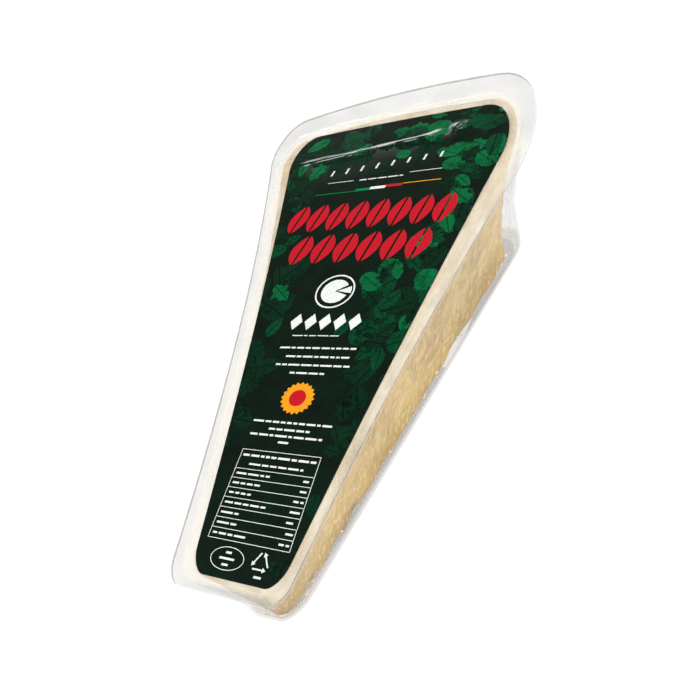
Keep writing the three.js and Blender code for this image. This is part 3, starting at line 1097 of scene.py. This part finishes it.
def edge_cuts(edge, x, y, reach):
    """Every third point where an outline passes near a place, with the direction that leads out."""
    cuts = []
    for a, b in zip(edge, edge[1:] + edge[:1]):
        middle = (a + b) / 2
        if (middle - Vector((x, y))).length < reach:
            along = (b - a).normalized()
            cuts.append((middle, Vector((along.y, -along.x))))
    return cuts[::3]


def place_leaf(rng, kind, x, y, size, angle, edge):
    """A leaf at its place, cut off where it passes the edge; none if nothing is left."""
    obj = flat_shape("leaf", [(u * size, v * size) for u, v in leaf_outline(kind, rng)])
    blade = obj.data.uv_layers.new(name="blade")
    for loop in obj.data.loops:
        co = obj.data.vertices[loop.vertex_index].co
        blade.data[loop.index].uv = (co.x / size + 0.5, co.y / size)
    moved(obj, x, y, angle)
    middle = Vector((x, y)) + Matrix.Rotation(angle, 2) @ Vector((0, size / 2))
    cuts = edge_cuts(edge, middle.x, middle.y, size)
    if cuts:
        to_edit(obj)
        for place, out in cuts:
            bpy.ops.mesh.select_all(action="SELECT")
            bpy.ops.mesh.bisect(plane_co=(*place, 0), plane_no=(*out, 0), clear_outer=True)
        to_object()
    if not obj.data.polygons:
        bpy.data.objects.remove(obj)
        return None
    return obj


def inside(loop, x, y):
    """True where a closed outline goes round the place."""
    crossings = 0
    for a, b in zip(loop, loop[1:] + loop[:1]):
        if (a.y > y) != (b.y > y) and x < lerp(a.x, b.x, (y - a.y) / (b.y - a.y)):
            crossings += 1
    return crossings % 2 == 1


def taper(narrow, wide, y):
    """A half width between the narrow and the wide end of the label."""
    return lerp(narrow, wide, (y + 84) / 155)


def leaf_chance(x, y):
    """How likely a leaf is at a place: dense round the rim, sparse behind the print."""
    rim = clamp(abs(x) / taper(11, 42, y))
    top = smooth(y, 46, 62)
    right = smooth(x, 6, 14) * smooth(y, -30, -10) * (1 - smooth(y, 4, 9))
    clear = lerp(0.8, 0.55, smooth(y, -55, -35))
    return max(smooth(rim, clear, clear + 0.3), top, right)


class PACK_OT_leaves(bpy.types.Operator):
    """Scatters generic leaves over the label, cut off where they pass its edge"""
    bl_idname = "mesh.pack_leaves"
    bl_label = "Leaves"

    def execute(self, context):
        lid = context.scene.pack_lid
        rng = random.Random(LEAF_SEED)
        edge = outline(inset(LABEL, 0.15))
        kinds = ("pointed", "pointed", "round", "lobed")
        tones = {"dark": [], "middle": [], "light": []}
        for i in range(LEAF_TRIES):
            y = rng.uniform(-84, 72)
            half = taper(12, 45, y)
            x = rng.uniform(-half, half)
            if rng.random() > leaf_chance(x, y) or not inside(edge, x, y):
                continue
            bright = smooth(y, -32, 10) * smooth(x, -30, 22)
            draw = rng.random()
            dimmer = "middle" if draw < 0.2 + 0.45 * bright else "dark"
            tone = "light" if draw < 0.02 + 0.33 * bright else dimmer
            size = rng.uniform(5, 11) * (0.75 if y < -40 else 1)
            kind, angle = rng.choice(kinds), rng.uniform(0, 2 * math.pi)
            leaf = place_leaf(rng, kind, x, y, size, angle, edge)
            if leaf:
                for v in leaf.data.vertices:
                    v.co.z = i * LEAF_STEP
                tones[tone].append(leaf)
        colours = {"dark": lid.leaf_dark, "middle": lid.leaf_middle, "light": lid.leaf_light}
        for tone, leaves in tones.items():
            ink = leaf_material(tone + "_leaf", colours[tone])
            lay_on_label(join(leaves), tone + "_leaves", ink, LEAF_RISE)
        return {"FINISHED"}


class PACK_OT_title(bpy.types.Operator):
    """Prints the two bold rows of red leaves"""
    bl_idname = "mesh.pack_title"
    bl_label = "Red Leaf Rows"

    def execute(self, context):
        rows = leaf_row(8, -27.5, 29.5, 22.4, 34.0) + leaf_row(6, -21.9, 25.0, 9.1, 20.6)
        ink = ink_material("red_ink", context.scene.pack_print.red)
        lay_on_label(join(rows), "red_leaf_rows", ink)
        return {"FINISHED"}


class PACK_OT_rules(bpy.types.Operator):
    """Prints the thin rules and the short coloured bars above the leaf rows"""
    bl_idname = "mesh.pack_rules"
    bl_label = "Coloured Rules"

    def execute(self, context):
        p = context.scene.pack_print
        thin, bold, lean = 0.32, 1.15, 0.3
        rules = (
            ("green", "green_ink", p.green, [(-14.3, 38.9, 14.8, thin, 0),
                                             (-4.3, 39.35, 5.2, bold, lean)]),
            ("white", "white_rule_ink", p.white, [(1.05, 39.6, 5.5, bold, lean)]),
            ("red", "red_rule_ink", p.red, [(6.65, 39.85, 5.7, bold, lean)]),
            ("yellow", "yellow_rule_ink", p.yellow, [(15.7, 40.25, 12.5, thin, 0)]))
        for name, ink, value, places in rules:
            lay_on_label(bars(places), name + "_rule", ink_material(ink, value))
        return {"FINISHED"}


class PACK_OT_small_print(bpy.types.Operator):
    """Prints the broken bars that stand for small print, and the ruled table"""
    bl_idname = "mesh.pack_small_print"
    bl_label = "Small Print"

    def execute(self, context):
        rng = random.Random(PRINT_SEED)
        ticks = [(-18.2 + 5.4 * i, 48.6 + 0.42 * i, 0.7, 2.4, 0.5) for i in range(8)]
        places = ticks + dashes(rng, -6.7, 8.6, 43.9, 1.3)
        places += [(-13.7, 44.0, 9.5, 0.22, 0), (15.9, 45.0, 10.7, 0.22, 0)]
        places += dashes(rng, -8.7, 6.4, -17.1, 0.9)
        lines = ((-11.2, 12.8, -21.15), (-8.1, 11.6, -23.95), (-10.4, 12.5, -26.65),
                 (-4.9, 5.8, -29.15), (-10.3, 14, -43.95), (-4.6, 7.6, -45.95),
                 (-9.7, 12.8, -47.75), (-0.4, 3.6, -49.45))
        for left, right, y in lines:
            places += dashes(rng, left, right, y, 1.6)
        places += self.table(rng)
        in_ring = ((-77.9, 1.6), (-79.3, 4.2), (-80.7, 1.8))
        places += [(-2.4, y, reach, 0.5, 0.1) for y, reach in in_ring]
        places += [(7.3, -81.9, 2.0, 0.5, 0.1)]
        white = [bars(places), moved(ring_shape(4.75, 2.7, 0.17), -2.35, -79.25),
                 moved(self.triangle(), 6.9, -78.7)]
        ink = ink_material("white_ink", context.scene.pack_print.white)
        lay_on_label(join(white), "white_small_print", ink)
        return {"FINISHED"}

    def table(self, rng):
        """A ruled table: a taller head, seven rows, and short bars on the left and right."""
        left, right, top, low = -10.0, 13.2, -52.2, -75.2
        line, head, rows = 0.15, 5.2, 7
        pitch = (top - head - low) / rows
        middle, width = (left + right) / 2, right - left
        heights = [top] + [top - head - pitch * i for i in range(rows + 1)]
        places = [(middle, y, width + line, line, 0) for y in heights]
        places += [(x, (top + low) / 2, line, top - low, 0) for x in (left, right)]
        places += dashes(rng, left + 0.8, right - 0.8, top - 1.5, 1.7)
        places += dashes(rng, left + 3.6, right - 3.6, top - 3.8, 1.4)
        for i in range(rows):
            y = top - head - pitch * (i + 0.5)
            places += dashes(rng, left + 0.9, left + rng.uniform(5, 13), y, 1.4)
            places += dashes(rng, right - rng.choice((2.6, 3.4, 4.4)), right - 0.6, y, 1.4)
        return places

    def triangle(self):
        """Three arrows in a triangle."""
        made = []
        for angle in [k * 2 * math.pi / 3 for k in range(3)]:
            point = moved(flat_shape("point", [(0, -0.6), (0.95, 0), (0, 0.6)]), 1.0, -1.5)
            made.append(moved(bars([(-0.35, -1.5, 2.7, 0.36, 0)]), 0, 0, angle))
            made.append(moved(point, 0, 0, angle))
        return join(made)


class PACK_OT_emblem(bpy.types.Operator):
    """Prints the round emblem, a cheese wheel with a slice drawn out, and the white lozenges"""
    bl_idname = "mesh.pack_emblem"
    bl_label = "Emblem"

    def execute(self, context):
        wheel = flat_shape("wheel", [(0, 0)] + arc(4.4, 4.2, 0.55, 2 * math.pi - 0.35, 40))
        part = moved(flat_shape("slice", [(0, 0)] + arc(4.4, 4.2, -0.2, 0.4, 10)), 0.9, 0.05)
        emblem = moved(join([ring_shape(6.3, 6.0, 0.5), wheel, part]), -0.3, -1.7)
        lozenge = flat_shape("lozenge", [(-0.5, 0), (0, -0.5), (0.5, 0), (0, 0.5)])
        row = copies(lozenge, [(-9.2 + 4.7 * i, -12.4, 3.9, 5.6, 0.9) for i in range(5)])
        ink = ink_material("emblem_ink", context.scene.pack_print.white)
        lay_on_label(join([emblem, row]), "white_emblem", ink)
        return {"FINISHED"}


class PACK_OT_seal(bpy.types.Operator):
    """Prints the plain scalloped seal with its red middle"""
    bl_idname = "mesh.pack_seal"
    bl_label = "Seal"

    def execute(self, context):
        p = context.scene.pack_print
        x, y, scallops, depth = 0.5, -36.7, 20, 0.28
        rim = []
        for a in [2 * math.pi * i / 160 for i in range(160)]:
            wave = depth * math.cos(a * scallops)
            rim.append(((4.7 + wave) * math.cos(a), (4.5 + wave) * math.sin(a)))
        disc = moved(flat_shape("disc", rim), x, y)
        lay_on_label(disc, "yellow_seal", ink_material("yellow_ink", p.yellow))
        middle = moved(flat_shape("middle", ellipse(2.5, 2.4, 40)), x, y)
        obj = lay_on_label(middle, "red_seal_middle", ink_material("red_seal_ink", p.red))
        for v in obj.data.vertices:
            v.co += Vector((0, -math.sin(LID_SLOPE), math.cos(LID_SLOPE))) * p.ink * 1.2
        return {"FINISHED"}


class PACK_OT_stage(bpy.types.Operator):
    """Sets the floor, the soft lights and the camera"""
    bl_idname = "scene.pack_stage"
    bl_label = "Stage"

    def execute(self, context):
        s = context.scene.pack_stage
        deselect_all()
        bpy.ops.mesh.primitive_plane_add(size=2 * s.floor_reach)
        floor = context.object
        floor.name = "floor"
        dress(floor, floor_material())
        world = bpy.data.worlds.new("soft_room")
        context.scene.world = world
        world.use_nodes = True
        air = world.node_tree.nodes["Background"].inputs
        air["Color"].default_value = (1, 1, 1, 1)
        air["Strength"].default_value = 0.09
        self.softbox("key_light", (0.75, -0.55, 1.1), 0.9, s.key_power)
        self.softbox("back_light", (-0.56, 1.03, 0.42), 0.45, 0.4 * s.glint_power)
        self.softbox("top_light", (-0.50, -0.56, 1.13), 0.45, s.glint_power)
        self.softbox("side_light", (0.9, 0.75, 0.45), 0.4, 0.5 * s.glint_power)
        self.camera(context)
        context.scene.view_settings.view_transform = "Standard"
        context.scene.cycles.transparent_max_bounces = 32
        context.scene.cycles.max_bounces = 10
        return {"FINISHED"}

    def softbox(self, name, place, size, power):
        """A square lamp that faces the middle of the pack."""
        deselect_all()
        bpy.ops.object.light_add(type="AREA", location=place)
        lamp = bpy.context.object
        lamp.name = name
        lamp.data.energy = power
        lamp.data.size = size
        aim = Vector((0, 0, 0.02)) - Vector(place)
        lamp.rotation_euler = aim.to_track_quat("-Z", "Y").to_euler()

    def camera(self, context):
        """The camera, at the place and turn that were worked out from the photograph's edges."""
        deselect_all()
        bpy.ops.object.camera_add()
        camera = context.object
        camera.name = "photo_camera"
        right = Vector((0.876, 0.346, -0.337)).normalized()
        ahead = Vector((-0.483, 0.598, -0.640)).normalized()
        up = right.cross(ahead).normalized()
        turn = Matrix((ahead.cross(up), up, -ahead)).transposed().to_4x4()
        place = level_point(94.1, -124.2, 143.8)
        camera.matrix_world = Matrix.Translation(place) @ turn
        camera.data.lens = 33.93
        camera.data.sensor_width = 36
        camera.data.clip_start = 0.01
        context.scene.camera = camera


class PACK_PT_panel(bpy.types.Panel):
    """Lists the steps in the order in which they are made"""
    bl_idname = "PACK_PT_panel"
    bl_label = "Cheese Pack"
    bl_space_type = "VIEW_3D"
    bl_region_type = "UI"
    bl_category = "Cheese Pack"

    def draw(self, context):
        for step in STEPS:
            self.layout.operator(step.bl_idname)
        for key in GROUPS:
            box = self.layout.box()
            group = getattr(context.scene, key)
            for name in group.bl_rna.properties.keys():
                if name not in ("rna_type", "name"):
                    box.prop(group, name)


GROUPS = {"pack_tray": PACK_PG_tray, "pack_cheese": PACK_PG_cheese, "pack_lid": PACK_PG_lid,
          "pack_print": PACK_PG_print, "pack_stage": PACK_PG_stage}
STEPS = [PACK_OT_tray, PACK_OT_cheese, PACK_OT_foot_glints, PACK_OT_film, PACK_OT_label,
         PACK_OT_leaves, PACK_OT_title, PACK_OT_rules, PACK_OT_small_print, PACK_OT_emblem,
         PACK_OT_seal, PACK_OT_stage]
CLASSES = [*GROUPS.values(), *STEPS, PACK_PT_panel]


def register():
    for cls in CLASSES:
        bpy.utils.register_class(cls)
    for key, group in GROUPS.items():
        setattr(bpy.types.Scene, key, PointerProperty(type=group))


def unregister():
    for key in GROUPS:
        delattr(bpy.types.Scene, key)
    for cls in reversed(CLASSES):
        bpy.utils.unregister_class(cls)


def main():
    register()
    bpy.ops.mesh.pack_tray()
    bpy.ops.mesh.pack_cheese()
    bpy.ops.mesh.pack_crumbs()
    bpy.ops.mesh.pack_film()
    bpy.ops.mesh.pack_label()
    bpy.ops.mesh.pack_leaves()
    bpy.ops.mesh.pack_title()
    bpy.ops.mesh.pack_rules()
    bpy.ops.mesh.pack_small_print()
    bpy.ops.mesh.pack_emblem()
    bpy.ops.mesh.pack_seal()
    bpy.ops.scene.pack_stage()
    deselect_all()


if __name__ == "__main__":
    main()
